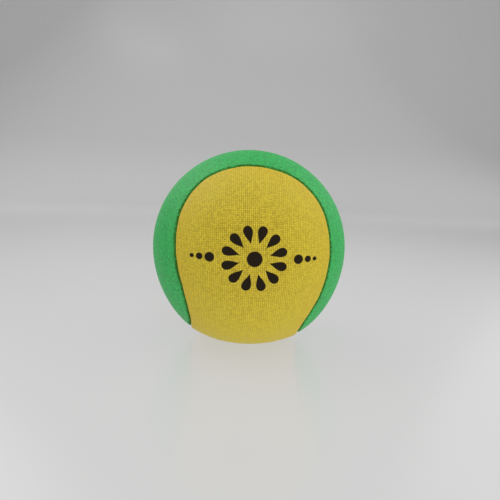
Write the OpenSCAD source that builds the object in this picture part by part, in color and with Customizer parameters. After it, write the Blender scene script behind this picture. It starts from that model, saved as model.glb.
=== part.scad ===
// Water bouncing ball: a soft gel core in a taut cover of two stretch-knit panels.
// The panels are two equal dog-bones that lock together along one endless seam.
// Both seam allowances are turned under the yellow edge, which they lift into a low ridge.
// Millimetres, Z up, origin at the middle of the flat that the ball rests on.

/* [Ball] */
// Diameter of the covered ball
ball_d = 56; // [50:1:70]
// Depth of the flat that the ball's own weight presses at its base
rest_depth = 0.5; // [0.3:0.1:0.8]
// How far the soft ball sags outwards in its lower half
rest_swell = 0.95; // [0:0.05:1.1]

/* [Knit panels] */
// Thickness of the stretched knit
knit_t = 0.6; // [0.4:0.05:0.7]
// Width of the seam allowances under the yellow edge
allowance_w = 3; // [2.5:0.25:3.5]
// Height of the ridge that the folded allowances raise along the yellow edge
ridge_h = 0.15; // [0.1:0.05:0.4]
// Distance from the seam over which that ridge fades
ridge_fade = 3.2; // [2.6:0.2:3.6]

/* [Seam line] */
// How strongly each panel is drawn in at its waist
waist_pull = 0.238; // [0.21:0.002:0.26]
// How squarely each panel's lobes end
lobe_squareness = 0.049; // [0:0.001:0.06]

/* [Sewing threads] */
// Diameter of the sewing threads
thread_d = 0.2; // [0.15:0.01:0.22]
// Number of machine stitches round the seam
stitch_count = 96; // [60:2:110]
// Length of seam that is closed by hand once the core is in
closing_len = 30; // [20:1:40]
// Number of hand stitches across that length
closing_rungs = 12; // [6:2:16]

/* [Hidden] */

ball_r = ball_d / 2;
base_z = rest_depth - ball_r;

// The seam is sampled evenly along its length, and a panel's middle is a grid across it.
seam_steps = 64;
grid_cols = 8;
table_steps = 512;
// The grid starts this far in from the seam, past the end of the ridge.
grid_edge = 6;
front_tip_angle = 135;

// Depths of the layers below the yellow panel's outer face, at the seam.
thread_gap = thread_d + 0.12;
ply_gap = 0.06;
core_gap = 0.1;
turned_top = knit_t + thread_gap;
turned_bottom = turned_top + knit_t;
under_top = turned_bottom + ply_gap;
under_bottom = under_top + knit_t;
core_top = under_bottom + thread_gap;
fold_r = turned_bottom / 2;

// The sag is fullest at this angle from straight down, and fades over these widths.
swell_angle = 34;
swell_below = 16;
swell_above = 26;

// The green panel dips into a groove beside the yellow fold, over its brow and down its wall.
groove_start = 3;
groove_brow = 0.95;
brow_dip = 0.08;
groove_wall = 0.35;
wall_depth = 0.75;

// Room that the core leaves round the ends of the seam allowances.
core_room = 0.3;
core_slope = 0.6;

// The needle line's distance from the seam, and half the share of a stitch between its legs.
needle_in = 1;
needle_leg = 0.07;
thread_sides = 4;

// The hand-closed stretch is on the rear lobe, centred at this share of the seam.
closing_share = 0.4;
// Where the hand thread is buried in the green panel: distance from the seam, and depth.
hold_in = 0.7;
hold_depth = knit_t + 0.1;

function unit(v) = v / norm(v);

// Seam

// Direction of the seam from the ball's centre, at an angle round the curve.
function seam_dir(t) =
    let (
        a = 1 - waist_pull,
        x = a * cos(t) + waist_pull * cos(3 * t) - lobe_squareness * cos(5 * t),
        y = a * sin(t) - waist_pull * sin(3 * t) - lobe_squareness * sin(5 * t),
        z = 2 * sqrt(a * waist_pull) * sin(2 * t)
    )
    unit([x + y, x - y, -sqrt(2) * z]);

// Direction square to the seam, along the surface, into the yellow panel.
function into_yellow(t) = unit(cross(seam_dir(t), seam_dir(t + 0.05) - seam_dir(t - 0.05)));

function table_angle(i) = front_tip_angle + 360 * i / table_steps;
function table_step(i) = ball_r * norm(seam_dir(table_angle(i + 1)) - seam_dir(table_angle(i)));

// Length along the seam from the front lobe's tip, against the curve's angle.
seam_table = [
    for (i = 0, s = 0; i <= table_steps; s = s + table_step(i), i = i + 1)
        [s, table_angle(i)]
];
seam_len = seam_table[table_steps][0];

function wrapped(s) = s - seam_len * floor(s / seam_len);
function seam_angle(s) = lookup(wrapped(s), seam_table);

// Direction of a point beside the seam: s along it, u into the yellow panel.
function beside_seam(s, u) =
    let (
        t = seam_angle(s),
        turn = u / ball_r * 180 / PI
    )
    seam_dir(t) * cos(turn) + into_yellow(t) * sin(turn);

// Surface

function angle_from_base(dir) = atan2(norm([dir.x, dir.y]), -dir.z);

// The sag fades faster towards the base than towards the ball's middle.
function swell(dir) =
    let (
        angle = angle_from_base(dir),
        width = angle < swell_angle ? swell_below : swell_above
    )
    rest_swell * exp(-pow((angle - swell_angle) / width, 2));

function ridge(u) = ridge_h * exp(-pow(u / ridge_fade, 2));

// A point h above the ball's nominal surface, kept at or above a lowest level.
function on_ball(dir, h, lowest) =
    let (p = dir * (ball_r + h + swell(dir)))
    [p.x, p.y, max(p.z, lowest)];

function slerp(a, b, f) =
    let (angle = acos(a * b))
    (a * sin((1 - f) * angle) + b * sin(f * angle)) / sin(angle);

// Shells

// A section is a list of [u, h] pairs. Each pair is swept once round the seam as a ring.
function ring_points(section, lowest) = [
    for (row = section)
        for (i = [0 : seam_steps - 1])
            on_ball(beside_seam(i * seam_len / seam_steps, row[0]), row[1], lowest)
];

function ring_index(ring, i) = ring * seam_steps + (i + seam_steps) % seam_steps;

function ring_faces(rings) = [
    for (r = [0 : rings - 2])
        for (i = [0 : seam_steps - 1])
            for (half = [0, 1])
                half == 0
                    ? [ring_index(r, i), ring_index(r, i + 1), ring_index(r + 1, i + 1)]
                    : [ring_index(r, i), ring_index(r + 1, i + 1), ring_index(r + 1, i)]
];

// The grid's rows run from one side of a panel to the other, from its first tip to its last.
function grid_points(u, h, tip, lowest) = [
    for (k = [1 : seam_steps / 2 - 1])
        let (
            a = beside_seam((tip + k) * seam_len / seam_steps, u),
            b = beside_seam((tip - k) * seam_len / seam_steps, u)
        )
        for (j = [1 : grid_cols - 1])
            on_ball(slerp(a, b, j / grid_cols), h, lowest)
];

grid_count = (seam_steps / 2 - 1) * (grid_cols - 1);

function grid_index(k, j, ring, tip, start) =
    j == 0 || k == 0 || k == seam_steps / 2
        ? ring_index(ring, tip + k)
        : j == grid_cols
            ? ring_index(ring, tip - k)
            : start + (k - 1) * (grid_cols - 1) + j - 1;

function grid_faces(ring, tip, start, flip) = [
    for (k = [0 : seam_steps / 2 - 1])
        for (j = [0 : grid_cols - 1])
            let (
                a = grid_index(k, j, ring, tip, start),
                b = grid_index(k + 1, j, ring, tip, start),
                c = grid_index(k + 1, j + 1, ring, tip, start),
                d = grid_index(k, j + 1, ring, tip, start)
            )
            for (face = [[a, b, c], [a, c, d]])
                if (face[0] != face[1] && face[1] != face[2] && face[0] != face[2])
                    flip ? [face[2], face[1], face[0]] : face
];

// The yellow panel's tips are at the front and the rear, the green panel's at the sides.
yellow_tip = 0;
green_tip = seam_steps / 4;

// A closed shell from a section whose two ends are each filled by a grid.
// Both ends lie in one panel, or the first in the yellow and the last in the green.
module shell(section, first_tip, last_tip, lowest, last_lowest) {
    rings = len(section);
    first = section[0];
    last = section[rings - 1];
    start = rings * seam_steps;
    points = concat(
        ring_points(section, last_lowest),
        grid_points(first[0], first[1], first_tip, lowest),
        grid_points(last[0], last[1], last_tip, last_lowest)
    );
    faces = concat(
        ring_faces(rings),
        grid_faces(0, first_tip, start, true),
        grid_faces(rings - 1, last_tip, start + grid_count, false)
    );
    translate([0, 0, -base_z])
        polyhedron(points = points, faces = faces, convexity = 8);
}

// Sections, from the outer face round the panel's edge to the inner face

function under_ridge(u, depth) = [u, ridge(u) - depth];

yellow_section = [
    under_ridge(grid_edge, 0),
    under_ridge(allowance_w, 0),
    under_ridge(fold_r, 0),
    under_ridge(fold_r * 0.15, fold_r * 0.45),
    under_ridge(fold_r * 0.15, fold_r * 1.55),
    under_ridge(fold_r, turned_bottom),
    under_ridge(allowance_w, turned_bottom),
    under_ridge(allowance_w, turned_top),
    under_ridge(fold_r * 0.9, turned_top - 0.05),
    under_ridge(fold_r * 0.9, knit_t + 0.05),
    under_ridge(allowance_w, knit_t),
    under_ridge(grid_edge, knit_t)
];

green_section = [
    [-grid_edge, -knit_t],
    [-groove_brow * 1.9, -knit_t - brow_dip],
    [-groove_brow * 0.9, -wall_depth - knit_t * 0.6],
    under_ridge(core_room, under_bottom),
    under_ridge(allowance_w, under_bottom),
    under_ridge(allowance_w, under_top),
    under_ridge(fold_r * 0.7, under_top),
    [-groove_wall, -wall_depth],
    [-groove_brow, -brow_dip],
    [-groove_start, 0],
    [-grid_edge, 0]
];

core_section = [
    [grid_edge, -knit_t - core_gap],
    [allowance_w + core_room + core_slope, -knit_t - core_gap * 2],
    under_ridge(allowance_w + core_room, core_top),
    under_ridge(core_room, core_top),
    [-groove_brow, -wall_depth - knit_t],
    [-groove_brow * 2.2, -knit_t - core_gap * 2],
    [-grid_edge, -knit_t - core_gap]
];

// Threads

// A tube along a path of [point, reference] pairs. The reference is square to the path.
function path_dir(a, b) = unit(b[0] - a[0]);

function tube_ring(path, i, r, sides) =
    let (
        last = len(path) - 1,
        before = path_dir(path[max(i - 1, 0)], path[max(i, 1)]),
        after = path_dir(path[min(i, last - 1)], path[min(i + 1, last)]),
        along = unit(before + after),
        up = unit(path[i][1] - along * (path[i][1] * along)),
        across = cross(along, up) / max(along * after, 0.5)
    )
    [
        for (k = [0 : sides - 1])
            let (turn = 360 * (k + 0.5) / sides)
            path[i][0] + r * (up * cos(turn) + across * sin(turn))
    ];

module tube(path, d, sides) {
    count = len(path);
    points = [
        for (i = [0 : count - 1])
            each tube_ring(path, i, d / 2, sides)
    ];
    walls = [
        for (i = [0 : count - 2])
            for (k = [0 : sides - 1])
                let (
                    a = i * sides + k,
                    b = i * sides + (k + 1) % sides
                )
                for (face = [[a, a + sides, b + sides], [a, b + sides, b]])
                    face
    ];
    first_end = [for (k = [0 : sides - 1]) k];
    last_end = [for (k = [sides - 1 : -1 : 0]) (count - 1) * sides + k];
    translate([0, 0, -base_z])
        polyhedron(points = points, faces = concat(walls, [first_end, last_end]), convexity = 8);
}

closing_start = seam_len * closing_share - closing_len / 2;
sewn_start = closing_start + closing_len;
sewn_len = seam_len - closing_len;
stitch_len = sewn_len / stitch_count;

// A path point beside the seam, with the surface's own normal as its reference.
// It lies on the straight line between two of the seam's samples, as the panels' faces do.
function flat_point(s, row) =
    let (
        step = seam_len / seam_steps,
        before = floor(s / step) * step,
        share = (s - before) / step,
        a = on_ball(beside_seam(before, row[0]), row[1], -ball_r),
        b = on_ball(beside_seam(before + step, row[0]), row[1], -ball_r)
    )
    [a * (1 - share) + b * share, beside_seam(s, row[0])];

// The same, with the direction square to the seam as its reference.
function upright_point(s, row) = [flat_point(s, row)[0], into_yellow(seam_angle(s))];

top_run = turned_top - thread_gap / 2;
bottom_run = under_bottom + thread_gap / 2;

// The needle thread runs along the top, and dips through both plies at each stitch.
needle_path = [
    for (i = [0 : stitch_count - 1])
        for (corner = [
            [needle_leg, bottom_run], [needle_leg, top_run],
            [1 - needle_leg, top_run], [1 - needle_leg, bottom_run]
        ])
            upright_point(sewn_start + (i + corner[0]) * stitch_len, under_ridge(needle_in, corner[1]))
];

// Each looper thread swings from beside the needle line to the cut edge and back.
function looper_path(depth) = [
    for (i = [0 : stitch_count * 2])
        flat_point(
            sewn_start + i * stitch_len / 2,
            under_ridge(i % 2 == 0 ? needle_in + 2 * thread_d : allowance_w - thread_d, depth)
        )
];

// The hand thread steps to and fro across the groove between the two panels.
rung_len = closing_len / (closing_rungs + 1);
yellow_hold = [fold_r * 0.3, ridge_h - fold_r * 0.5];
green_hold = [-hold_in, -hold_depth];
closing_path = [
    for (i = [1 : closing_rungs])
        for (step = [0, 1])
            flat_point(closing_start + i * rung_len, (i + step) % 2 == 0 ? yellow_hold : green_hold)
];

// Pieces

module gel_core() {
    color("honeydew")
        shell(core_section, yellow_tip, green_tip, base_z + knit_t + core_gap, base_z + knit_t + core_gap);
}

module green_panel() {
    color("mediumseagreen")
        shell(green_section, green_tip, green_tip, -ball_d, -ball_d);
}

module yellow_panel() {
    color("goldenrod")
        difference() {
            shell(yellow_section, yellow_tip, yellow_tip, -ball_d, base_z + knit_t);
            translate([-ball_r, -ball_r, -ball_d])
                cube([ball_d, ball_d, ball_d]);
        }
}

module needle_thread() {
    color("darkgreen")
        tube(needle_path, thread_d, thread_sides);
}

module upper_looper_thread() {
    color("seagreen")
        tube(looper_path(top_run), thread_d, thread_sides);
}

module lower_looper_thread() {
    color("seagreen")
        tube(looper_path(bottom_run), thread_d, thread_sides);
}

module closing_thread() {
    color("darkgreen")
        tube(closing_path, thread_d, thread_sides);
}

gel_core();
green_panel();
yellow_panel();
needle_thread();
upper_looper_thread();
lower_looper_thread();
closing_thread();
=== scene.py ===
# %% [markdown]
# # A water bouncing ball
# The ball is a soft gel core in a taut cover. Two dog-bone panels of stretch knit, one yellow and
# one green, lock together along one endless seam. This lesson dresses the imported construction:
# it models the core, both panels and the sewing threads as real cloth and thread, gives each a
# finish made from nodes, and photographs the ball on a pale studio floor.
#
# Everything is in metres, in the construction's own frame: Z is up, and the origin is the middle
# of the small flat that the ball rests on.

# %% Load the frame
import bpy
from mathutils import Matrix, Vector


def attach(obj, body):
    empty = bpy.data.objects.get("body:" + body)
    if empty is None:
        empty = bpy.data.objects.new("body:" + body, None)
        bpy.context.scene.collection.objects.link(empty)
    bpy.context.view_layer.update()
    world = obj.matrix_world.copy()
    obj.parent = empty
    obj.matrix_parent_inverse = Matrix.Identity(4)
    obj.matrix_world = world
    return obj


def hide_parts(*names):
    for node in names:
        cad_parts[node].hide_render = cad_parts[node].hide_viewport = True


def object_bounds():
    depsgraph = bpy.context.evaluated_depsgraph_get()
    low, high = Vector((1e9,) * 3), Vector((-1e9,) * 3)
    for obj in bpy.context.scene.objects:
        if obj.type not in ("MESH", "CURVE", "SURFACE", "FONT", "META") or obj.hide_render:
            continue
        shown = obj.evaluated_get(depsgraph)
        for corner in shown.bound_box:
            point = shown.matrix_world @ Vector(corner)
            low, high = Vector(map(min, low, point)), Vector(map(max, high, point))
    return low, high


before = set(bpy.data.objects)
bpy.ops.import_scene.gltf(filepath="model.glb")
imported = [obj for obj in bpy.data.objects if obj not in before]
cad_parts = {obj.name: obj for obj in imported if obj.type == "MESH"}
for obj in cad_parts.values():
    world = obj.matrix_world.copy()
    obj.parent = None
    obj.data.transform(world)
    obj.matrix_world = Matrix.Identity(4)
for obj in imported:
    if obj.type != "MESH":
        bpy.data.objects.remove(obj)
cad_low, cad_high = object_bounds()
print("pieces in the frame:", sorted(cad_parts))

# %% Blender's own modules
import math

import bmesh
import bpy
from mathutils import Matrix, Vector
from mathutils.kdtree import KDTree

MM = 0.001
print("size of the frame, mm:", [round(side / MM, 2) for side in cad_high - cad_low])

# %% [markdown]
# ## The seam
# Every piece follows the seam, so it comes first. The seam is drawn on a unit sphere by three
# waves, which is how the curve on a two-panel ball can be written down without any table of
# points. The yellow panel's waist is then at the bottom, and its lobes face front and rear.
# Stitches are spaced by length and not by angle, so the lengths are added up once.

# %% The seam's curve
ball_r = 28 * MM
ball_centre = Vector((0, 0, cad_high.z - ball_r))
waist_pull = 0.238
lobe_squareness = 0.049
front_tip = math.radians(135)


def seam_direction(t):
    """Unit direction from the ball's centre to the seam, at the angle t round its curve."""
    a = 1 - waist_pull
    x = a * math.cos(t) + waist_pull * math.cos(3 * t) - lobe_squareness * math.cos(5 * t)
    y = a * math.sin(t) - waist_pull * math.sin(3 * t) - lobe_squareness * math.sin(5 * t)
    z = 2 * math.sqrt(a * waist_pull) * math.sin(2 * t)
    return Vector((x + y, x - y, -math.sqrt(2) * z)).normalized()


def into_yellow(t):
    """Unit direction along the surface, square to the seam, into the yellow panel."""
    step = 0.001
    forward = seam_direction(t + step) - seam_direction(t - step)
    return seam_direction(t).cross(forward).normalized()


print("direction of the front lobe's tip:", [round(side, 2) for side in seam_direction(front_tip)])

# %% Length along the seam
length_steps = 2048
seam_lengths = [0.0]
for i in range(length_steps):
    t = front_tip + math.tau * i / length_steps
    stride = seam_direction(t + math.tau / length_steps) - seam_direction(t)
    seam_lengths.append(seam_lengths[-1] + ball_r * stride.length)
seam_len = seam_lengths[-1]


def seam_angle(s):
    """The curve's angle at a length s from the front lobe's tip."""
    s = s % seam_len
    low, high = 0, length_steps
    while high - low > 1:
        middle = (low + high) // 2
        low, high = (middle, high) if seam_lengths[middle] <= s else (low, middle)
    share = (s - seam_lengths[low]) / (seam_lengths[high] - seam_lengths[low])
    return front_tip + math.tau * (low + share) / length_steps


print("length of the seam, mm:", round(seam_len / MM, 1))

# %% [markdown]
# ## Places on the ball
# A place is given by three numbers: s along the seam, u across it into the yellow panel, and h
# above the round surface. Two things move it from there. A sewn seam is never quite true: it
# wanders by a fraction of a millimetre, and low on the front the sewing has tugged it out of line
# in two spots. And the ball is soft, so it sags: its lower half is fuller than a true sphere, a
# little more so on the right, and its base is pressed flat. Each piece could be bent by itself,
# but with one shared rule the cloth, gel and thread keep their places against each other.

# %% Places beside the seam
seam_ease = -0.1 * MM
# Each wave of the wander: its size, how many fit round the seam, and where it starts
seam_wander = (
    (0.32 * MM, 5, 3.1),
    (0.07 * MM, 11, 2.1),
    (0.05 * MM, 24, 4.0),
    (0.03 * MM, 53, 1.2),
)
# Each tug: its place along the seam, its size and its width
seam_tugs = ((-57 * MM, 3.0 * MM, 9 * MM), (50 * MM, 0.75 * MM, 13 * MM))


def beside_seam(s, u):
    """Direction of a place that lies u into the yellow panel, at the length s."""
    t = seam_angle(s)
    u = u + seam_ease
    for size, waves, start in seam_wander:
        u = u + size * math.sin(math.tau * waves * s / seam_len + start)
    for place, size, width in seam_tugs:
        off_tug = (s - place + seam_len / 2) % seam_len - seam_len / 2
        u = u + size * math.exp(-(off_tug / width) ** 2)
    turn = u / ball_r
    return seam_direction(t) * math.cos(turn) + into_yellow(t) * math.sin(turn)


front_off = beside_seam(0, 0).angle(seam_direction(front_tip)) * ball_r
print("the seam's front tip is off its curve by, mm:", round(front_off / MM, 2))

# %% The sag of the soft ball
rest_swell = 0.95 * MM
swell_angle = math.radians(34)
swell_below = math.radians(16)
swell_above = math.radians(26)
swell_lean = 0.4
floor_softness = 0.12 * MM
clear_of_floor = 20


def swell(direction):
    """How far the soft ball sags outwards in its lower half."""
    angle = math.acos(max(-1, min(1, -direction.z)))
    lean = 1 + swell_lean * max(direction.x, 0) ** 2
    width = swell_below if angle < swell_angle else swell_above
    return rest_swell * lean * math.exp(-((angle - swell_angle) / width) ** 2)


def on_ball(direction, h, lowest):
    """The place at height h over the round surface, kept softly above the level lowest."""
    place = ball_centre + direction * (ball_r + h + swell(direction))
    over = (place.z - lowest) / floor_softness
    if over < clear_of_floor:
        place.z = lowest + floor_softness * math.log1p(math.exp(over))
    return place


print("lowest place, mm:", round(on_ball(Vector((0, 0, -1)), 0, 0).z / MM, 3))

# %% [markdown]
# ## Layers at the seam
# The maker sewed the panels right sides together and turned the cover out. Both seam allowances
# now lie under the yellow edge: the yellow knit folds back under itself, and the green knit runs
# flat below it. The doubled cloth lifts the yellow edge into a low ridge. Beside it the green
# turns down into a groove, which the stitches pull nearly shut. Layers with real thickness would
# need two lines each, so a panel is drawn as the one line of its middle, from its cut edge out to
# the open cloth, and its thickness is added afterwards.

# %% Depths of the layers
knit_t = 0.6 * MM
thread_d = 0.2 * MM
thread_room = 0.12 * MM
thread_gap = thread_d + thread_room
ply_gap = 0.06 * MM
allowance_w = 3 * MM
ridge_h = 0.15 * MM
open_cloth = 6 * MM
outer_mid = knit_t / 2
turned_mid = outer_mid + knit_t + thread_gap
under_mid = turned_mid + knit_t + ply_gap


def under_ridge(u, depth):
    """A point of a section that lies at some depth below the ridge along the yellow edge."""
    fade = 1 - min(max(u, 0) / open_cloth, 1) ** 2
    return (u, ridge_h * fade ** 3 - depth)


print("depths of the middle lines, mm:", [round(d / MM, 2) for d in (outer_mid, turned_mid, under_mid)])

# %% Yellow section: cut edge, fold, ridge, open cloth
fold_size = (turned_mid - outer_mid) / 2
fold_centre = fold_size + knit_t / 2
fold_steps = 10
turned_rings = (1, 0.8, 0.6, 0.42)
ridge_rings = (0.18, 0.25, 0.33, 0.42, 0.52, 0.64, 0.8, 1)
yellow_section = [under_ridge(allowance_w * share, turned_mid) for share in turned_rings]
for i in range(fold_steps + 1):
    angle = math.radians(270 - 180 * i / fold_steps)
    depth = (turned_mid + outer_mid) / 2 - fold_size * math.sin(angle)
    yellow_section.append(under_ridge(fold_centre + fold_size * math.cos(angle), depth))
yellow_section += [under_ridge(open_cloth * share, outer_mid) for share in ridge_rings]
print("rings across the yellow edge:", len(yellow_section))

# %% Green section: cut edge, groove, open cloth
under_rings = (1, 0.8, 0.6, 0.4, 0.25, 0.12)
open_rings = (0.33, 0.52, 0.75, 1)
groove_mm = (
    (0.15, -1.74), (-0.12, -1.66), (-0.32, -1.46), (-0.42, -1.18), (-0.43, -0.85),
    (-0.45, -0.58), (-0.52, -0.40), (-0.68, -0.30), (-1.1, -0.28),
)
green_section = [under_ridge(allowance_w * share, under_mid) for share in under_rings]
green_section += [(u * MM, h * MM) for u, h in groove_mm]
green_section += [(-open_cloth * share, -outer_mid) for share in open_rings]
print("rings across the green edge:", len(green_section))

# %% [markdown]
# ## From bmesh to object
# Each shape is worked out in a bmesh, which is Blender's workbench for meshes. When it is done, it
# becomes the mesh of a new object. The object stays at the origin, unturned and unscaled, so a
# place in the mesh is that same place on the ball. Two more helpers serve every shape that grows
# by extruding: one picks vertices, edges or faces out of a result, the other extrudes a row of
# edges and hands back the new row.

# %% Helpers for meshes
def new_piece(name, bm):
    """A new smooth object, at the origin, from a finished bmesh."""
    for face in bm.faces:
        face.smooth = True
    mesh = bpy.data.meshes.new(name)
    bm.to_mesh(mesh)
    bm.free()
    piece = bpy.data.objects.new(name, mesh)
    bpy.context.scene.collection.objects.link(piece)
    print(name, "faces:", len(mesh.polygons))
    return piece


def parts_of(geometry, kind):
    return [part for part in geometry if isinstance(part, kind)]


def extruded(bm, edges):
    """Extrudes a row of edges, and returns the new row's vertices and edges."""
    grown = bmesh.ops.extrude_edge_only(bm, edges=edges)["geom"]
    row = parts_of(grown, bmesh.types.BMVert)
    in_row = set(row)
    return row, [edge for edge in parts_of(grown, bmesh.types.BMEdge) if set(edge.verts) <= in_row]


# %% [markdown]
# ## A knit panel
# A panel could be cut out of a sphere, but its turned edge could not. So it grows from its cut
# edge instead. A circle of edges becomes the cut edge, and extruding that ring again and again
# carries it round the fold and out onto the open cloth. The last ring is then filled with a grid
# of faces from lobe to lobe, and the grid is pressed onto the ball. Each vertex remembers how far
# along the seam it started, so every ring can be placed by rule. It also keeps its distance from
# the seam, which the finish will need.

# %% Stitches pull the cloth in
closing_len = 30 * MM
closing_middle = 0.4 * seam_len
closing_start = closing_middle - closing_len / 2
stitch_count = 96
stitch_len = (seam_len - closing_len) / stitch_count
pucker_depth = 0.10 * MM
pucker_reach = 1.2 * MM
pucker_uneven = 0.4
pull_beats = (2.3, 0.71)


def pucker(s, u):
    """Depth of the small dimple that each pass of a thread pulls into the cloth beside the seam."""
    passes = 2 * (s - closing_start) / stitch_len
    beat = math.sin(pull_beats[0] * passes) * math.sin(pull_beats[1] * passes + 1)
    pull = 1 - pucker_uneven + pucker_uneven * beat
    return pucker_depth * pull * math.sin(math.pi * passes) ** 4 * math.exp(-(u / pucker_reach) ** 2)


print("length of a machine stitch, mm:", round(stitch_len / MM, 2))

# %% Rings out from the cut edge
seam_steps = 800


def grow_rings(bm, section, along, across):
    """Extrudes the cut edge ring by ring through the section, and returns the last ring."""
    ring = bmesh.ops.create_circle(bm, segments=seam_steps, radius=ball_r)["verts"]
    for i, vert in enumerate(ring):
        vert[along] = i
    edges = list(bm.edges)
    for number, (u, h) in enumerate(section):
        if number:
            ring, edges = extruded(bm, edges)
        for vert in ring:
            s = vert[along] * seam_len / seam_steps
            vert[across] = abs(u)
            vert.co = on_ball(beside_seam(s, u), h - pucker(s, u), outer_mid)
    return sorted(ring, key=lambda vert: vert[along])


# %% A grid across the middle
lobe_edges = 100


def fill_middle(bm, ring, tip):
    """Fills the last ring with a grid of faces, and returns the vertices inside it."""
    half_end = lobe_edges // 2
    end_edges = []
    for middle in (tip, tip + seam_steps // 2):
        end = [ring[(middle + k) % seam_steps] for k in range(-half_end, half_end + 1)]
        end_edges += [bm.edges.get(pair) for pair in zip(end, end[1:])]
    before = set(bm.verts)
    bmesh.ops.grid_fill(bm, edges=end_edges, use_smooth=True)
    return [vert for vert in bm.verts if vert not in before]


# %% A whole panel
def knit_panel(name, section, tip, stitch_place):
    """A panel of knit as one sheet, with its thickness as a modifier and its stitches as a UV map."""
    bm = bmesh.new()
    along = bm.verts.layers.float.new("along")
    across = bm.verts.layers.float.new("across")
    ring = grow_rings(bm, section, along, across)
    for vert in fill_middle(bm, ring, tip):
        vert[across] = open_cloth
        vert.co = on_ball((vert.co - ball_centre).normalized(), -outer_mid, outer_mid)
    bmesh.ops.recalc_face_normals(bm, faces=bm.faces)
    knit = bm.loops.layers.uv.new("knit")
    for face in bm.faces:
        for loop in face.loops:
            loop[knit].uv = stitch_place((loop.vert.co - ball_centre).normalized())
    bm.verts.layers.float.remove(along)
    panel = new_piece(name, bm)
    thickness = panel.modifiers.new("Knit thickness", "SOLIDIFY")
    thickness.thickness = knit_t
    thickness.offset = 0
    return panel


# %% [markdown]
# ## Which way the knit runs
# Jersey knit has wales, which are columns of loops, and courses, which are rows. On each panel
# the wales run along its length, from lobe to lobe. Two angles give every point its column and
# row: the angle away from the panel's long middle line, and the angle along that line. The UV
# map counts whole stitches, so that the finish can draw one loop for every unit square.

# %% The two panels
wale_pitch = 0.5 * MM
course_pitch = 0.46 * MM


def stitch_at(sideways, lengthways):
    """Column and row of the knit, from the angles across and along a panel."""
    return (ball_r * sideways / wale_pitch, ball_r * lengthways / course_pitch)


def yellow_stitch(direction):
    return stitch_at(math.asin(direction.x), math.atan2(direction.y, -direction.z))


def green_stitch(direction):
    return stitch_at(math.asin(direction.y), math.atan2(direction.x, direction.z))


yellow_panel = knit_panel("yellow_knit", yellow_section, 0, yellow_stitch)
green_panel = knit_panel("green_knit", green_section, seam_steps // 4, green_stitch)

# %% [markdown]
# ## The gel core
# The core is a moulded ball of soft gel, and the cover hides it. Where the seam allowances press
# on it, the gel gives way. The dent could be cut with a boolean, but that leaves sharp edges in a
# soft thing. A sphere of small triangles is enough: each vertex looks up the nearest point of the
# seam and sinks by a rule of its distance.

# %% Gel pressed in along the seam
core_gap = 0.1 * MM
dent_brow = 2.4 * MM
dent_slope = 1.2 * MM
dent_slope_depth = 2.2 * knit_t
dent_clear = 0.3 * MM
dent_end = 0.9 * MM
under_threads = under_mid + knit_t / 2 + thread_gap
core_section = [
    (-open_cloth, -knit_t - core_gap),
    (-dent_brow, -knit_t - 2 * core_gap),
    (-dent_slope, -dent_slope_depth),
    under_ridge(dent_clear, under_threads),
    under_ridge(allowance_w + dent_clear, under_threads),
    (allowance_w + dent_end, -knit_t - 2 * core_gap),
    (open_cloth, -knit_t - core_gap),
]
print("deepest dent in the gel, mm:", round(min(h for u, h in core_section) / MM, 2))

# %% The gel ball
core_cuts = 6
seam_tree = KDTree(length_steps)
for i in range(length_steps):
    seam_tree.insert(beside_seam(i * seam_len / length_steps, 0), i)
seam_tree.balance()


def core_height(direction):
    """Height of the gel's surface, from the distance to the seam."""
    nearest, i, distance = seam_tree.find(direction)
    side = into_yellow(seam_angle(i * seam_len / length_steps))
    u = math.copysign(ball_r * distance, side.dot(direction - nearest))
    for (u0, h0), (u1, h1) in zip(core_section, core_section[1:]):
        if u0 <= u < u1:
            share = (u - u0) / (u1 - u0)
            return h0 + (h1 - h0) * share * share * (3 - 2 * share)
    return -knit_t - core_gap


bm = bmesh.new()
bmesh.ops.create_icosphere(bm, subdivisions=core_cuts, radius=ball_r)
for vert in bm.verts:
    direction = vert.co.normalized()
    vert.co = on_ball(direction, core_height(direction), knit_t + core_gap)
gel_core = new_piece("float_gel_core", bm)

# %% [markdown]
# ## Sewing threads
# An overlock machine joins the two allowances with three threads: the needle thread dips through
# both plies, and two looper threads swing between the needle line and the cut edge, one on each
# face. The last stretch, at the rear, is closed by hand with a ladder stitch once the core is in.
# A thread could be a swept ring of vertices, but a curve with a round bevel gives it its body at
# once. Its path has a few corners for each stitch, and cutting the corners twice bends it as a
# pulled thread bends.

# %% Making a thread
corner_cuts = 2
cut_share = 0.25


def thread_place(s, section_point):
    return on_ball(beside_seam(s, section_point[0]), section_point[1], outer_mid)


def rounded(path):
    """The path with each corner cut off, and with its ends kept."""
    cut = [path[0]]
    for a, b in zip(path, path[1:]):
        cut += [a.lerp(b, cut_share), a.lerp(b, 1 - cut_share)]
    return cut + [path[-1]]


def thread(name, path):
    """A round thread along a path, made as a beveled curve and kept as a mesh."""
    for _ in range(corner_cuts):
        path = rounded(path)
    curve = bpy.data.curves.new(name, "CURVE")
    curve.dimensions = "3D"
    curve.bevel_depth = thread_d / 2
    curve.bevel_resolution = 1
    curve.use_fill_caps = True
    spline = curve.splines.new("POLY")
    spline.points.add(len(path) - 1)
    for point, place in zip(spline.points, path):
        point.co = (*place, 1)
    holder = bpy.data.objects.new(name, curve)
    mesh = bpy.data.meshes.new_from_object(holder)
    bpy.data.objects.remove(holder)
    bm = bmesh.new()
    bm.from_mesh(mesh)
    bpy.data.meshes.remove(mesh)
    thread_len = sum((b - a).length for a, b in zip(path, path[1:]))
    print(name, "is", round(thread_len / MM), "mm long")
    return new_piece(name, bm)


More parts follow.
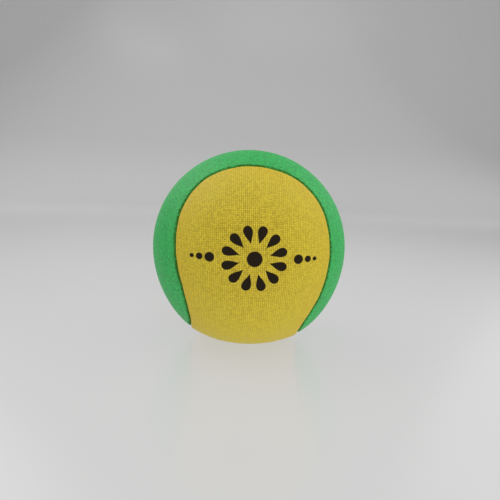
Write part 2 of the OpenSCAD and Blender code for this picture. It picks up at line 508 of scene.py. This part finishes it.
# %% Needle thread
needle_in = 1 * MM
needle_leg = 0.07
sewn_start = closing_start + closing_len
top_run = turned_mid - knit_t / 2 - thread_gap / 2
bottom_run = under_mid + knit_t / 2 + thread_gap / 2
needle_corners = (
    (needle_leg, bottom_run),
    (needle_leg, top_run),
    (1 - needle_leg, top_run),
    (1 - needle_leg, bottom_run),
)
needle_path = [
    thread_place(sewn_start + (i + share) * stitch_len, under_ridge(needle_in, depth))
    for i in range(stitch_count)
    for share, depth in needle_corners
]
needle_thread = thread("overlock_needle_thread", needle_path)

# %% Looper threads
looper_reach = (needle_in + 2 * thread_d, allowance_w - thread_d)


def looper_path(depth):
    """The path of a looper thread on one face of the allowances."""
    return [
        thread_place(sewn_start + i * stitch_len / 2, under_ridge(looper_reach[i % 2], depth))
        for i in range(2 * stitch_count + 1)
    ]


upper_looper = thread("overlock_upper_looper", looper_path(top_run))
lower_looper = thread("overlock_lower_looper", looper_path(bottom_run))

# %% Hand-sewn closing
closing_rungs = 12
rung_len = closing_len / (closing_rungs + 1)
# Where the thread holds each panel: a share of the fold in and down, or a distance out and below
fold_in, fold_down = 0.3, 0.5
green_out, green_below = 0.7 * MM, 0.1 * MM
yellow_hold = (fold_centre * fold_in, ridge_h - fold_centre * fold_down)
green_hold = (-green_out, -knit_t - green_below)
closing_path = [
    thread_place(closing_start + i * rung_len, (yellow_hold, green_hold)[(i + step) % 2])
    for i in range(1, closing_rungs + 1)
    for step in (0, 1)
]
closing_thread = thread("hand_closing_thread", closing_path)

# %% [markdown]
# ## Finishes
# Each finish is a Principled shader fed by a few nodes. Nodes can be wired one by one, but the
# wiring soon hides the idea, so small helpers keep the code short: one adds a Math node, others
# mix two colours, add noise, or turn a distance into a share from 0 to 1.

# %% Helpers for numbers
def feed(tree, socket, value):
    """Links a socket to the input, or sets the input to a number or colour."""
    if isinstance(value, bpy.types.NodeSocket):
        tree.links.new(value, socket)
    else:
        socket.default_value = value


def maths(tree, operation, *values):
    node = tree.nodes.new("ShaderNodeMath")
    node.operation = operation
    for socket, value in zip(node.inputs, values):
        feed(tree, socket, value)
    return node.outputs["Value"]


def vector(tree, x, y):
    node = tree.nodes.new("ShaderNodeCombineXYZ")
    feed(tree, node.inputs["X"], x)
    feed(tree, node.inputs["Y"], y)
    return node.outputs["Vector"]


def share_between(tree, value, none_at, full_at, change="SMOOTHSTEP"):
    """A share that is 0 at one value and 1 at another, with a smooth or a straight change."""
    node = tree.nodes.new("ShaderNodeMapRange")
    node.interpolation_type = change
    tree.links.new(value, node.inputs["Value"])
    node.inputs["From Min"].default_value = none_at
    node.inputs["From Max"].default_value = full_at
    return node.outputs["Result"]


# %% Helpers for tones
def new_finish(name):
    finish = bpy.data.materials.new(name)
    finish.use_nodes = True
    print("finish:", name)
    return finish, finish.node_tree, finish.node_tree.nodes["Principled BSDF"]


def object_place(tree):
    return tree.nodes.new("ShaderNodeTexCoord").outputs["Object"]


def mixed(tree, share, first, second, blend="MIX"):
    node = tree.nodes.new("ShaderNodeMix")
    node.data_type = "RGBA"
    node.blend_type = blend
    feed(tree, node.inputs["Factor"], share)
    feed(tree, node.inputs["A"], first)
    feed(tree, node.inputs["B"], second)
    return node.outputs["Result"]


def noise(tree, place, scale):
    node = tree.nodes.new("ShaderNodeTexNoise")
    node.inputs["Scale"].default_value = scale
    tree.links.new(place, node.inputs["Vector"])
    return node.outputs["Fac"]


def chance(tree, place):
    node = tree.nodes.new("ShaderNodeTexWhiteNoise")
    node.noise_dimensions = "2D"
    tree.links.new(place, node.inputs["Vector"])
    return node.outputs["Value"]


# %% [markdown]
# ## The knit's loops
# Seen close, a wale is a column of V shapes: two legs of yarn lean together, with a deep gap
# between one wale and the next and a shallow one inside the V. Thousands of modelled loops would
# be too many, so a rule draws them. A ramp across half a wale gives the legs' profile. Along the
# wale, a wave parts one loop from the next, and leaning the wave by the distance from the wale's
# middle turns straight rows into Vs. Neighbouring wales on stretched knit are never quite in
# step, so each gets a shift by chance. Both panels need the same loops, so they are a node group,
# which also gives each loop a brightness of its own.

# %% Node group: stretch knit
leg_profile = ((0.0, 0.85), (0.40, 1.0), (0.72, 0.62), (1.0, 0.0))
leg_lean = 0.9
wale_shift = 0.35
loop_wave = 0.35


def leg_ramp(group, off_middle):
    """Height of the yarn from the wale's middle, at 0, to the gap beside it, at 1."""
    ramp = group.nodes.new("ShaderNodeValToRGB")
    ramp.color_ramp.interpolation = "EASE"
    for place, height in leg_profile[1:-1]:
        ramp.color_ramp.elements.new(place)
    for element, (place, height) in zip(ramp.color_ramp.elements, leg_profile):
        element.position = place
        element.color = (height, height, height, 1)
    group.links.new(off_middle, ramp.inputs["Fac"])
    return ramp.outputs["Color"]


def knit_group():
    group = bpy.data.node_groups.new("Stretch knit", "ShaderNodeTree")
    group.interface.new_socket("Stitches", in_out="INPUT", socket_type="NodeSocketVector")
    for name in ("Height", "Speckle"):
        group.interface.new_socket(name, in_out="OUTPUT", socket_type="NodeSocketFloat")
    entry = group.nodes.new("NodeGroupInput")
    split = group.nodes.new("ShaderNodeSeparateXYZ")
    group.links.new(entry.outputs["Stitches"], split.inputs[0])
    wale, course = split.outputs["X"], split.outputs["Y"]
    off_middle = maths(group, "ABSOLUTE", maths(group, "SUBTRACT", maths(group, "FRACT", wale), 0.5))
    legs = leg_ramp(group, maths(group, "MULTIPLY", off_middle, 2))
    number = maths(group, "FLOOR", wale)
    shift = maths(group, "MULTIPLY", chance(group, vector(group, number, 0)), wale_shift)
    leant = maths(group, "MULTIPLY_ADD", off_middle, leg_lean, course)
    step = maths(group, "ADD", leant, shift)
    wave = maths(group, "SINE", maths(group, "MULTIPLY", step, math.tau))
    height = maths(group, "MULTIPLY", legs, maths(group, "MULTIPLY_ADD", wave, loop_wave, 1 - loop_wave))
    speckle = chance(group, vector(group, number, maths(group, "FLOOR", step)))
    leave = group.nodes.new("NodeGroupOutput")
    group.links.new(height, leave.inputs["Height"])
    group.links.new(speckle, leave.inputs["Speckle"])
    return group


stretch_knit = knit_group()
print("nodes in the knit group:", len(stretch_knit.nodes))

# %% [markdown]
# ## Knit finishes
# The yarn is shiny filament. Between the loops the colour is darker, which is painted shade in the
# gaps, each loop catches the light a little differently, and slow changes of tone keep the panel
# from looking printed. Seen at a slant, the loops stand in front of the gaps, and the colour is made
# paler there: a painted sheen of knit towards the edge of the ball, for which Layer Weight tells
# how far the cloth is turned away. Along the seam the crease is painted dark and made matt, with a
# ragged edge: a painted shade. On the green, the warmer cast beside the seam is partly painted
# reflection of the yellow panel. Each panel could have a finish of its own, but they differ only in
# their colours and creases, so one function makes both.

# %% Yarn and gaps
loop_uneven = 0.8
# How much paler the colour turns at a slant, a painted sheen
slant_sheen = 1.1


def stitches_of(tree):
    node = tree.nodes.new("ShaderNodeUVMap")
    node.uv_map = "knit"
    return node.outputs["UV"]


def knit_loops(tree):
    """The knit group on the panel's own stitches: the loops' height, and a chance for each loop."""
    loops = tree.nodes.new("ShaderNodeGroup")
    loops.node_tree = stretch_knit
    tree.links.new(stitches_of(tree), loops.inputs["Stitches"])
    return loops.outputs["Height"], loops.outputs["Speckle"]


def yarn_share(tree, height, speckle):
    """How much yarn shows against the gaps between the loops, more so at a slant as a painted sheen."""
    uneven = maths(tree, "MULTIPLY_ADD", speckle, loop_uneven, 1 - loop_uneven / 2)
    share = maths(tree, "MULTIPLY", height, uneven)
    # Painted sheen: the colour turns paler as the cloth turns away
    slant = tree.nodes.new("ShaderNodeLayerWeight")
    painted_sheen = maths(tree, "MULTIPLY", slant.outputs["Facing"], slant_sheen)
    return maths(tree, "MULTIPLY_ADD", maths(tree, "SUBTRACT", 1, share), painted_sheen, share)


# %% Painted shade in the crease at the seam
crease_painted_shade = (0.028, 0.095, 0.001, 1)
ragged_scale = 1100
ragged_w = 0.8 * MM


def seam_distance(tree):
    node = tree.nodes.new("ShaderNodeAttribute")
    node.attribute_name = "across"
    return node.outputs["Fac"]


def crease_share(tree, place, distance, crease):
    """Share of painted shade: 1 in the crease at the seam and 0 on the open cloth, with a ragged edge
    between.
    """
    ragged = maths(tree, "MULTIPLY_ADD", noise(tree, place, ragged_scale), ragged_w, -ragged_w / 2)
    return share_between(tree, maths(tree, "ADD", distance, ragged), *crease)


# %% Relief of the loops
loop_relief = 0.12 * MM
relief_strength = 0.6


def loop_bump(tree, height):
    bump = tree.nodes.new("ShaderNodeBump")
    bump.inputs["Strength"].default_value = relief_strength
    bump.inputs["Distance"].default_value = loop_relief
    tree.links.new(height, bump.inputs["Height"])
    return bump.outputs["Normal"]


# %% A knit finish
patch_scale = 140
patch_depth = 0.5
seam_warmth = 0.6
fuzz_scale = 2200
# How much less of the crease's painted shade falls on the crests of the loops
crest_shade_spared = 0.5
gap_rough = 0.56
yarn_gloss = 0.1


def knit_finish(name, yarn, gap, warm, fuzz_depth, crease, overprint=None):
    """A knit with a yarn colour, a darker colour between its loops as painted shade, and a warmer cast in
    patches.
    """
    finish, tree, shader = new_finish(name)
    place = object_place(tree)
    distance = seam_distance(tree)
    height, speckle = knit_loops(tree)
    beside = maths(tree, "SUBTRACT", 1, maths(tree, "DIVIDE", distance, open_cloth))
    # Beside the seam the colour turns warmer; on the green this yellowish cast is partly painted reflection
    # of the yellow panel
    warmth = maths(tree, "MULTIPLY", beside, seam_warmth)
    patches = maths(tree, "MULTIPLY_ADD", noise(tree, place, patch_scale), patch_depth, warmth)
    colour = mixed(tree, yarn_share(tree, height, speckle), gap, mixed(tree, patches, yarn, warm))
    fuzz = maths(tree, "MULTIPLY_ADD", noise(tree, place, fuzz_scale), fuzz_depth, 1 - fuzz_depth / 2)
    colour = mixed(tree, 1.0, colour, fuzz, "MULTIPLY")
    creased = crease_share(tree, place, distance, crease)
    # Painted shade darkens the crease, less so on the crests of the loops
    crease_shade = maths(tree, "MULTIPLY", creased, maths(tree, "MULTIPLY_ADD", height, -crest_shade_spared, 1))
    colour = mixed(tree, crease_shade, colour, crease_painted_shade)
    rough = maths(tree, "MULTIPLY_ADD", height, -yarn_gloss, gap_rough)
    rough = maths(tree, "MAXIMUM", rough, creased)
    if overprint:
        colour, rough = overprint(tree, colour, rough)
    tree.links.new(colour, shader.inputs["Base Color"])
    tree.links.new(rough, shader.inputs["Roughness"])
    tree.links.new(loop_bump(tree, height), shader.inputs["Normal"])
    return finish


# %% Green knit
green_yarn = (0.015, 0.52, 0.102, 1)
# Between the loops the green is darkened as painted shade
green_gap_shade = (0.002, 0.20, 0.019, 1)
# Warmer green for random patches, and beside the seam partly painted reflection of the yellow panel
green_warm_and_reflected_yellow = (0.050, 0.55, 0.122, 1)
green_fuzz = 2.0
# Where the crease's painted shade is gone, and where it is full
green_crease = (1.05 * MM, 0.5 * MM)
green_finish = knit_finish("green stretch knit", green_yarn, green_gap_shade, green_warm_and_reflected_yellow, green_fuzz, green_crease)

# %% [markdown]
# ## The print
# The front lobe carries a plain print in black ink: a ring of drops round a dot, and on either
# side a row of dots that grow smaller. It could be a picture, but a rule stays sharp at any size.
# The rule is a distance: above zero inside the ink, below zero outside. It is measured on the
# knit's own rows and columns, so the print bends with the cloth as ink on fabric does.

# %% Ring of drops
drop_count = 12
drop_in = 3.3 * MM
drop_out = 8.3 * MM
drop_half_w = 1.25 * MM
drop_taper = 1.5
drop_widest = 0.75
drop_peak = drop_widest ** drop_taper * math.sqrt(1 - drop_widest)
ink_edge = 0.08 * MM


def length(tree, x, y):
    node = tree.nodes.new("ShaderNodeVectorMath")
    node.operation = "LENGTH"
    tree.links.new(vector(tree, x, y), node.inputs[0])
    return node.outputs["Value"]


def in_drops(tree, x, y):
    """How far inside the nearest drop of the ring a place lies, and below zero outside."""
    from_middle = length(tree, x, y)
    turn = maths(tree, "MULTIPLY", maths(tree, "ARCTAN2", y, x), drop_count / math.tau)
    off_drop = maths(tree, "ABSOLUTE", maths(tree, "SUBTRACT", maths(tree, "FRACT", turn), 0.5))
    off_angle = maths(tree, "MULTIPLY", off_drop, math.tau / drop_count)
    sideways = maths(tree, "MULTIPLY", off_angle, from_middle)
    along = share_between(tree, from_middle, drop_in, drop_out, "LINEAR")
    taper = maths(tree, "POWER", along, drop_taper)
    round_end = maths(tree, "SQRT", maths(tree, "SUBTRACT", 1, along))
    half_w = maths(tree, "MULTIPLY", maths(tree, "MULTIPLY", taper, round_end), drop_half_w / drop_peak)
    return maths(tree, "SUBTRACT", half_w, maths(tree, "ADD", sideways, ink_edge))


print("drops in the ring:", drop_count, "each", round((drop_out - drop_in) / MM, 1), "mm long")

# %% Ink on the front lobe
print_lift = 1.0 * MM
print_row = ball_r * math.pi / 2 + print_lift
# Each dot: its distance to either side of the middle, and its radius
side_dots = ((0, 1.9 * MM), (11.2 * MM, 1.3 * MM), (14.0 * MM, 0.95 * MM), (16.2 * MM, 0.65 * MM))
ink = (0.012, 0.007, 0.001, 1)


def ink_share(tree):
    """How much of the knit is covered by ink, from 0 to 1."""
    split = tree.nodes.new("ShaderNodeSeparateXYZ")
    tree.links.new(stitches_of(tree), split.inputs[0])
    x = maths(tree, "MULTIPLY", split.outputs["X"], wale_pitch)
    y = maths(tree, "MULTIPLY_ADD", split.outputs["Y"], -course_pitch, -print_row)
    inside = in_drops(tree, x, y)
    for place, radius in side_dots:
        from_dot = length(tree, maths(tree, "SUBTRACT", maths(tree, "ABSOLUTE", x), place), y)
        inside = maths(tree, "MAXIMUM", inside, maths(tree, "SUBTRACT", radius, from_dot))
    return share_between(tree, inside, -ink_edge, ink_edge)


def inked(tree, colour, rough):
    """The knit's colour and roughness with matt ink over them."""
    share = ink_share(tree)
    return mixed(tree, share, colour, ink), maths(tree, "MAXIMUM", rough, share)


print("the print reaches to either side, mm:", round(sum(side_dots[-1]) / MM, 2))

# %% Yellow knit
yellow_yarn = (0.825, 0.667, 0.040, 1)
# Between the loops the yellow is darkened as painted shade
yellow_gap_shade = (0.295, 0.194, 0.0005, 1)
yellow_warm = (0.825, 0.600, 0.026, 1)
yellow_fuzz = 0.4
# Where the crease's painted shade is gone, and where it is full
yellow_crease = (0.6 * MM, 0.2 * MM)
yellow_finish = knit_finish(
    "yellow stretch knit", yellow_yarn, yellow_gap_shade, yellow_warm, yellow_fuzz, yellow_crease, inked
)
print("nodes in the yellow finish:", len(yellow_finish.node_tree.nodes))

# %% [markdown]
# ## Gel and thread finishes
# Soft gel lets some light in and has faint clouds. Spun thread is matt, and its twisted fibres
# make it lighter and darker along its length. Plain colours would do while the cover is closed,
# but a part is also looked at in pieces. Both are two tones in a noise, broad for the gel and
# very fine for the thread, so they share one function.

# %% Two-tone finishes
def mottled_finish(name, scale, dark, light, smoothest, rougher):
    """Two tones mixed by a noise, and rougher where the tone is lighter."""
    finish, tree, shader = new_finish(name)
    mottle = noise(tree, object_place(tree), scale)
    tree.links.new(mixed(tree, mottle, dark, light), shader.inputs["Base Color"])
    tree.links.new(maths(tree, "MULTIPLY_ADD", mottle, rougher, smoothest), shader.inputs["Roughness"])
    return finish, shader


# %% Gel finish
gel_clouds = 60
gel_clear = (0.62, 0.74, 0.62, 1)
gel_cloudy = (0.78, 0.86, 0.78, 1)
gel_milkiness = 0.3
gel_light_reach = (10 * MM, 12 * MM, 10 * MM)
gel_finish, shader = mottled_finish(
    "float gel", gel_clouds, gel_clear, gel_cloudy, smoothest=0.2, rougher=0.2
)
shader.inputs["Subsurface Weight"].default_value = gel_milkiness
shader.inputs["Subsurface Radius"].default_value = gel_light_reach

# %% Thread finish
thread_fibres = 9000
thread_dark = (0.03, 0.15, 0.045, 1)
thread_light = (0.07, 0.30, 0.10, 1)
thread_finish, shader = mottled_finish(
    "spun sewing thread", thread_fibres, thread_dark, thread_light, smoothest=0.55, rougher=0.3
)

# %% [markdown]
# ## Dressing the pieces
# Nothing on this ball moves against anything else, so all of it rides on the one body.

# %% Dress the pieces
dressed = (
    (gel_core, gel_finish, "gel_core", "core_gel"),
    (yellow_panel, yellow_finish, "yellow_panel", "yellow_knit"),
    (green_panel, green_finish, "green_panel", "green_knit"),
    (needle_thread, thread_finish, "needle_thread", "sewing_thread"),
    (upper_looper, thread_finish, "upper_looper_thread", "sewing_thread"),
    (lower_looper, thread_finish, "lower_looper_thread", "sewing_thread"),
    (closing_thread, thread_finish, "closing_thread", "sewing_thread"),
)
for piece, finish, node, slot in dressed:
    piece.data.materials.append(finish)
    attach(piece, "root")
    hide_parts(node)
    print(piece.name, "takes the place of", node)

# %% [markdown]
# ## How the panels are cut
# A panel was cut flat and smaller than the place that it covers, because the knit is stretched
# over the core. On the ball its length runs from tip to tip through the waist, and its width is
# that of a lobe.

# %% [markdown]
# ## Studio
# The ball stands on a light table, a pale sheet that glows from below, which is why its underside
# is bright and its shadow faint. Behind the ball the sheet bends up into a backdrop. A floor and
# a wall would do, but a corner would show as a line, and a bend does not. So an edge across the
# front is extruded back along the table, spun a quarter turn and extruded up.

# %% Floor and backdrop
sweep_half = 2.0
sweep_front = -0.9
sweep_back = 0.55
sweep_bend = 0.4
sweep_top = 2.5
bend_steps = 16
bend_centre = (0, sweep_back, sweep_bend)
bm = bmesh.new()
corners = [bm.verts.new((side, sweep_front, 0)) for side in (-sweep_half, sweep_half)]
row, edges = extruded(bm, [bm.edges.new(corners)])
bmesh.ops.translate(bm, verts=row, vec=(0, sweep_back - sweep_front, 0))
quarter = math.radians(90)
bend = bmesh.ops.spin(
    bm, geom=row + edges, cent=bend_centre, axis=(1, 0, 0), angle=quarter, steps=bend_steps
)
row, edges = extruded(bm, parts_of(bend["geom_last"], bmesh.types.BMEdge))
bmesh.ops.translate(bm, verts=row, vec=(0, 0, sweep_top - sweep_bend))
bmesh.ops.recalc_face_normals(bm, faces=bm.faces)
studio = new_piece("studio_sweep", bm)

# %% [markdown]
# ## Studio paper
# The table is brightest near the camera, and its glow fades with distance. There the sheet itself
# is dark, as a light table is when its lamp does the work. Further back it turns into plain grey
# paper, with painted shade making it a little darker up the wall. A gentle gloss lets the ball show
# in the table, and a fine grain keeps the sheet from looking empty.

# %% Tones of the table and the backdrop
# Each fade: where its tone is gone, and where it is full
table_fade = (0.46, -0.02)
foot_fade = (0.13, 0)
table_tint = (0.15, 0.15, 0.15, 1)
sweep_tint = (0.69, 0.69, 0.69, 1)
# Grey of the wall, darker than the sweep's as painted shade
wall_shaded_tint = (0.62, 0.62, 0.62, 1)
grain_scale = 200
grain_depth = 0.04
paper, tree, shader = new_finish("studio paper")
place = object_place(tree)
sides = tree.nodes.new("ShaderNodeSeparateXYZ")
tree.links.new(place, sides.inputs[0])
tint = mixed(tree, share_between(tree, sides.outputs["Z"], *foot_fade), wall_shaded_tint, sweep_tint)
tint = mixed(tree, share_between(tree, sides.outputs["Y"], *table_fade), tint, table_tint)
grain = maths(tree, "MULTIPLY_ADD", noise(tree, place, grain_scale), grain_depth, 1 - grain_depth / 2)
tree.links.new(mixed(tree, 1.0, tint, grain, "MULTIPLY"), shader.inputs["Base Color"])

# %% Glow and gloss of the table
glow_middle = (0, -0.5, 0)
# Distances from the middle at which the glow is gone, and at which it is full
glow_fade = (0.91, 0.4)
table_glow = 0.50
table_rough = 0.25
far = tree.nodes.new("ShaderNodeVectorMath")
far.operation = "DISTANCE"
tree.links.new(place, far.inputs[0])
far.inputs[1].default_value = glow_middle
tree.links.new(share_between(tree, far.outputs["Value"], *glow_fade), shader.inputs["Emission Color"])
shader.inputs["Emission Strength"].default_value = table_glow
shader.inputs["Roughness"].default_value = table_rough
studio.data.materials.append(paper)
print("glow of the table:", table_glow, "gone at", glow_fade[0], "m")

# %% [markdown]
# ## Lights
# Four large softboxes light the ball, each turned to its middle. The one in front does most of
# the work. The one above lights the top, and the two behind, left and right, put the sheen on the
# shoulders of the green. The front one is left out of reflections, because its mirror image would
# glare on the table in views from behind. White air all round fills the shadows.

# %% Softboxes
box_size = 0.8
# Each softbox: its place, its power in watts, and whether it shows in reflections
softboxes = (
    ("front_softbox", (0.32, -1.51, 0.44), 11.6, False),
    ("upper_softbox", (0.29, -0.17, 0.75), 1.1, True),
    ("right_softbox", (0.60, 0.35, 0.43), 1.0, True),
    ("left_softbox", (-0.50, 0.29, 0.58), 2.25, True),
)
for name, place, power, shines in softboxes:
    lamp = bpy.data.lights.new(name, "AREA")
    lamp.shape = "DISK"
    lamp.size = box_size
    lamp.energy = power
    box = bpy.data.objects.new(name, lamp)
    box.location = place
    box.rotation_mode = "QUATERNION"
    box.rotation_quaternion = (ball_centre - box.location).to_track_quat("-Z", "Y")
    box.visible_camera = False
    box.visible_glossy = shines
    bpy.context.scene.collection.objects.link(box)
    print(name, "of", power, "W at", round((ball_centre - box.location).length, 2), "m")

# %% White air
air_light = 0.35
world = bpy.data.worlds.new("studio air")
world.use_nodes = True
background = world.node_tree.nodes["Background"]
background.inputs["Color"].default_value = (1, 1, 1, 1)
background.inputs["Strength"].default_value = air_light
bpy.context.scene.world = world
print("light of the air:", air_light)

# %% [markdown]
# ## Camera
# The camera stands five ball radii from the ball's centre, a little above it. It is found from
# two facts of the photograph: the outline's size, and the way the seam curves towards its edge.
# The lens follows from the outline's size, and a small step sideways puts the ball in its place.

# %% Lens
image_px = 500
outline_px = 95.84
camera_distance = 5 * ball_r
camera_data = bpy.data.cameras.new("camera")
focal_px = outline_px * math.sqrt(camera_distance ** 2 - ball_r ** 2) / ball_r
camera_data.lens = camera_data.sensor_width * focal_px / image_px
camera_data.clip_start = 10 * MM
print("lens, mm:", round(camera_data.lens, 2))

# %% Where the camera stands
outline_centre_px = (248.42, 245.46)
yaw, pitch, roll = (math.radians(angle) for angle in (3.21, 9.0, 2.14))
turn = Matrix.Rotation(roll, 3, "Y") @ Matrix.Rotation(pitch, 3, "X") @ Matrix.Rotation(yaw, 3, "Z")
right, away, up = turn
px = camera_distance / focal_px
middle_px = (image_px - 1) / 2
aim = ball_centre + right * px * (middle_px - outline_centre_px[0])
aim += up * px * (outline_centre_px[1] - middle_px)
camera = bpy.data.objects.new("camera", camera_data)
camera.matrix_world = Matrix((right, up, -away)).transposed().to_4x4()
camera.location = aim - away * camera_distance
bpy.context.scene.collection.objects.link(camera)
bpy.context.scene.camera = camera
bpy.context.scene.view_settings.view_transform = "Standard"
print("the camera stands at, mm:", [round(side / MM, 1) for side in camera.location])
